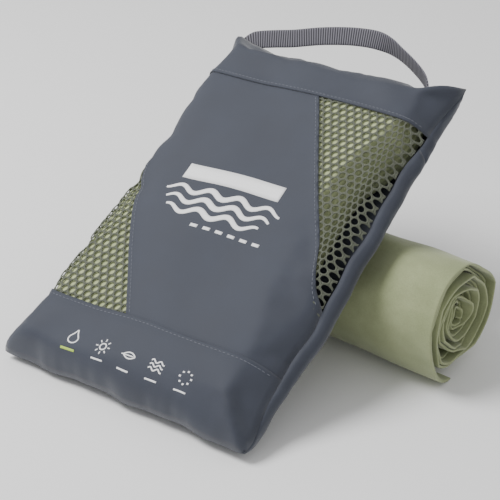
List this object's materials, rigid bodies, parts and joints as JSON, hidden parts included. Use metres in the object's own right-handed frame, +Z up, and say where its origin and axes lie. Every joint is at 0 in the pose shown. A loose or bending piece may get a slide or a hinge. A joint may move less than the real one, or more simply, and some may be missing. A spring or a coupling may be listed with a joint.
{
  "type": "quick dry towel set",
  "caption": "Folded quick-dry towel in a dark zip pouch with net windows and a webbing loop, leaning on the same towel rolled up.",
  "frame": {"origin": "on the floor under the middle of the set's bounding box", "axes": "+X along the rolled towel towards its open end, +Y from the pouch's foot towards the roll, +Z up"},
  "size_m": [0.248, 0.2611, 0.1743],
  "materials": {
    "microfibre": "sage green suede-like microfibre, matt",
    "slate_fabric": "dark slate woven polyester, slight sheen",
    "net_mesh": "grey-green open net with rounded holes",
    "webbing": "grey cross-ribbed webbing",
    "zip_tape": "dark twill zip tape",
    "zip_coil": "dark nylon coil",
    "zip_metal": "dark lacquered zip metal, satin"
  },
  "bodies": {
    "rolled_towel": {"rolled_towel": "microfibre"},
    "pouch": {"folded_towel": "microfibre", "bottom_band": "slate_fabric", "top_band": "slate_fabric", "centre_panel": "slate_fabric", "left_net": "net_mesh", "right_net": "net_mesh", "back_panel_lower": "slate_fabric", "back_panel_upper": "slate_fabric", "zip_tape_lower": "zip_tape", "zip_tape_upper": "zip_tape", "zip_coil_lower": "zip_coil", "zip_coil_upper": "zip_coil", "zip_stop_left": "zip_metal", "zip_stop_right": "zip_metal"},
    "carry_loop": {"carry_loop": "webbing"},
    "zip_slider": {"slider_body": "zip_metal"},
    "zip_pull": {"pull_tab": "zip_metal"}
  },
  "joints": [
    {"name": "pouch_lift", "type": "slide", "parent": "rolled_towel", "child": "pouch", "axis": [0, 0, 1], "range_m": [0, 0.15]},
    {"name": "loop_flop", "type": "hinge", "parent": "pouch", "child": "carry_loop", "pos_m": [-0.0243, 0.10745, 0.15358], "axis": [1, 0, 0], "range_deg": [-60, 80], "stiffness_Nm_per_rad": 0.01},
    {"name": "zip_run", "type": "slide", "parent": "pouch", "child": "zip_slider", "axis": [-1, 0, 0], "range_m": [0, 0.124]},
    {"name": "pull_swing", "type": "hinge", "parent": "zip_slider", "child": "zip_pull", "pos_m": [0.0407, 0.07207, 0.10641], "axis": [0, -0.848, -0.5299], "range_deg": [0, 175]}
  ]
}
